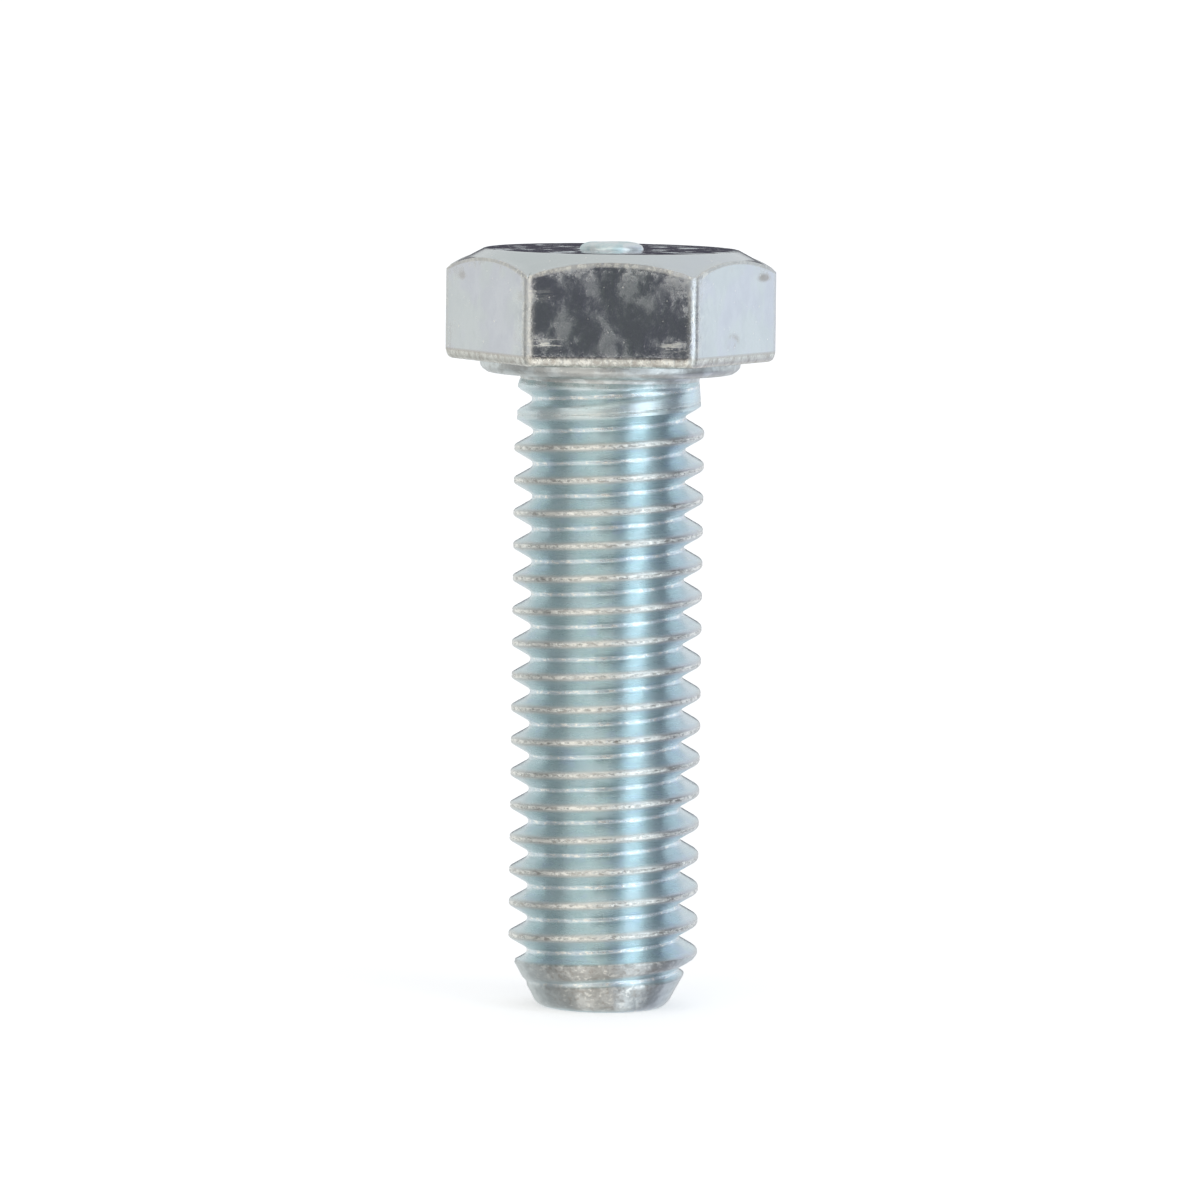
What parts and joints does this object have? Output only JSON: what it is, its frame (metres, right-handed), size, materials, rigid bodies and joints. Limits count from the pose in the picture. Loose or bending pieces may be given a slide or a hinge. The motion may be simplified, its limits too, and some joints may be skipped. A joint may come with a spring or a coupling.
{
  "type": "hex bolt",
  "caption": "Fully threaded hex-head screw in zinc-plated steel: chamfered hexagon, washer face, right-hand rolled thread and a bevelled point.",
  "frame": {"origin": "centre of the bearing face under the head, on the screw's axis", "axes": "+Z along the axis, up through the head; the shank hangs down -Z; one flat of the hexagon faces -Y and two of its corners lie on +X and -X"},
  "size_m": [0.016, 0.014, 0.0373],
  "materials": {
    "head_plate": "bright zinc plate on a forged head, glossy with fine mottling",
    "pip_plate": "bright zinc plate with a duller middle",
    "washer_plate": "bright zinc plate, satin",
    "neck_plate": "bright zinc plate, satin",
    "thread_plate": "blue-bright zinc plate on a rolled thread",
    "point_plate": "dull zinc plate on a sheared and bevelled end"
  },
  "bodies": {
    "root": {"hex_head": "head_plate", "centre_pip": "pip_plate", "washer_face": "washer_plate", "neck": "neck_plate", "threaded_shank": "thread_plate", "chamfered_point": "point_plate"}
  },
  "joints": []
}
